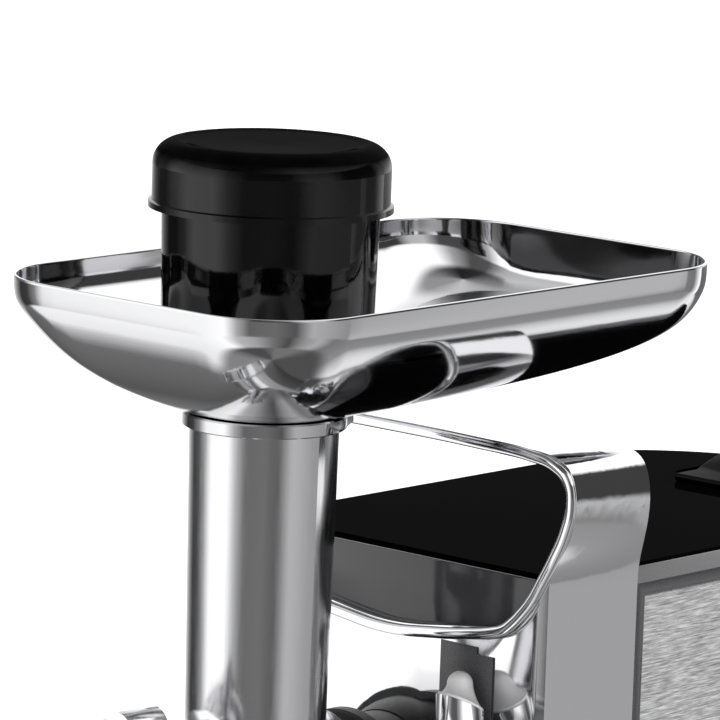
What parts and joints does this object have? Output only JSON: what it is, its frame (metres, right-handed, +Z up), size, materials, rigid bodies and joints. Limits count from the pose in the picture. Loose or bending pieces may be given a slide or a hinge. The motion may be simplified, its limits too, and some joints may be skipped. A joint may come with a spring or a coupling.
{
  "type": "electric meat grinder",
  "caption": "Electric meat grinder with a steel feed tray, two-stage pusher, screw head with ring nut and plate, chrome front arch and a flat-topped body.",
  "frame": {"origin": "on the supporting surface under the middle of the machine", "axes": "+X right seen from the front, +Y to the rear, +Z up"},
  "size_m": [0.1938, 0.448, 0.394],
  "materials": {
    "steel_polished": "polished stainless steel",
    "cast_polished": "satin-polished die casting",
    "nut_chrome": "polished",
    "chrome": "chrome-plated moulding",
    "blade_steel": "ground carbon steel",
    "worm_alloy": "as cast",
    "black_gloss": "high gloss",
    "black_satin": "satin moulded",
    "dark_gloss": "high gloss",
    "mid_grey": "satin",
    "light_grey": "satin",
    "white_trim": "gloss",
    "frame_grey": "satin grey",
    "panel_steel": "brushed lengthways",
    "rubber": "moulded",
    "red_button": "gloss",
    "gear_steel": "hobbed and hardened",
    "gear_nylon": "moulded nylon",
    "cast_alloy": "die cast",
    "bronze": "sintered",
    "lamination": "stacked laminations",
    "copper": "enamelled copper",
    "carbon": "carbon",
    "inner_plastic": "moulded",
    "board_green": "laminate",
    "screw_steel": "zinc plated"
  },
  "bodies": {
    "housing": {"lever_pivot": "nut_chrome", "arch": "chrome", "front_panel": "chrome", "window_lip": "chrome", "top_cover": "black_gloss", "carry_handle": "black_gloss", "socket_collar": "black_satin", "rear_cover": "black_satin", "switch_plate": "black_satin", "base_plate": "black_satin", "fascia": "dark_gloss", "lever_plate": "mid_grey", "side_frame_left": "frame_grey", "side_frame_right": "frame_grey", "side_panel_left": "panel_steel", "side_panel_right": "panel_steel", "feet": "rubber", "cord_gland": "rubber", "gear_pins": "gear_steel", "motor_bearings": "gear_steel", "gearbox_housing": "cast_alloy", "gearbox_plate": "cast_alloy", "motor_bracket": "cast_alloy", "output_bush": "bronze", "stator_core": "lamination", "field_coils": "copper", "brushes": "carbon", "brush_holders": "inner_plastic", "switch_block": "inner_plastic", "breaker": "inner_plastic", "motor_cradle": "inner_plastic", "control_board": "board_green", "foot_screws": "screw_steel", "motor_screws": "screw_steel"},
    "head": {"grinder_head": "cast_polished", "worm_bush": "gear_nylon", "cutting_plate": "blade_steel"},
    "ring_nut": {"ring_nut": "nut_chrome"},
    "worm": {"worm": "worm_alloy", "knife": "blade_steel"},
    "tray": {"tray": "steel_polished", "tray_collar": "steel_polished"},
    "pusher": {"pusher_cup": "black_gloss", "pusher_plunger": "black_gloss"},
    "pusher_cap": {"pusher_cap": "black_gloss"},
    "lock_lever": {"lever_hub": "chrome", "lever_ring": "white_trim", "lever_grip": "light_grey"},
    "rocker_switch": {"rocker_switch": "black_satin"},
    "reverse_button": {"reverse_button": "black_satin"},
    "reset_button": {"reset_button": "red_button"},
    "output_gear": {"output_gear": "gear_nylon"},
    "second_gear": {"second_gear": "gear_steel"},
    "first_gear": {"first_gear": "gear_steel"},
    "rotor": {"rotor_shaft": "gear_steel", "armature": "lamination", "commutator": "bronze", "fan": "gear_nylon"}
  },
  "joints": [
    {"name": "head_slide", "type": "slide", "parent": "housing", "child": "head", "axis": [0, -1, 0], "range_m": [0, 0.045]},
    {"name": "ring_nut_turn", "type": "hinge", "parent": "head", "child": "ring_nut", "pos_m": [0, -0.208, 0.128], "axis": [0, -1, 0], "range_deg": [0, 120]},
    {"name": "worm_spin", "type": "hinge", "parent": "head", "child": "worm", "pos_m": [0, -0.138, 0.128], "axis": [0, -1, 0], "continuous": true},
    {"name": "tray_lift", "type": "slide", "parent": "head", "child": "tray", "axis": [0, 0, 1], "range_m": [0, 0.06]},
    {"name": "pusher_lift", "type": "slide", "parent": "tray", "child": "pusher", "axis": [0, 0, 1], "range_m": [0, 0.11]},
    {"name": "cap_lift", "type": "slide", "parent": "pusher", "child": "pusher_cap", "axis": [0, 0, 1], "range_m": [0, 0.04]},
    {"name": "lock_lever_turn", "type": "hinge", "parent": "housing", "child": "lock_lever", "pos_m": [0.0539, -0.0762, 0.1498], "axis": [0, 1, 0], "range_deg": [-3, 40]},
    {"name": "rocker_turn", "type": "hinge", "parent": "housing", "child": "rocker_switch", "pos_m": [0.0875, 0.13, 0.1235], "axis": [0, 0, 1], "range_deg": [-9, 9]},
    {"name": "reverse_press", "type": "slide", "parent": "housing", "child": "reverse_button", "axis": [-1, 0, 0], "range_m": [0, 0.0025], "stiffness_N_per_m": 600},
    {"name": "reset_press", "type": "slide", "parent": "housing", "child": "reset_button", "axis": [0, -1, 0], "range_m": [0, 0.0025], "stiffness_N_per_m": 500},
    {"name": "output_spin", "type": "hinge", "parent": "housing", "child": "output_gear", "pos_m": [0, -0.048, 0.128], "axis": [0, -1, 0], "continuous": true},
    {"name": "second_spin", "type": "hinge", "parent": "housing", "child": "second_gear", "pos_m": [0, -0.038, 0.1805], "axis": [0, -1, 0], "continuous": true},
    {"name": "first_spin", "type": "hinge", "parent": "housing", "child": "first_gear", "pos_m": [0.02273, -0.023, 0.14758], "axis": [0, -1, 0], "continuous": true},
    {"name": "rotor_spin", "type": "hinge", "parent": "housing", "child": "rotor", "pos_m": [0, 0.062, 0.128], "axis": [0, -1, 0], "continuous": true}
  ],
  "couplings": [
    {"joint": "first_spin", "follows": "rotor_spin", "ratio": -0.25},
    {"joint": "second_spin", "follows": "rotor_spin", "ratio": 0.07},
    {"joint": "output_spin", "follows": "rotor_spin", "ratio": -0.0175},
    {"joint": "worm_spin", "follows": "rotor_spin", "ratio": -0.0175}
  ]
}
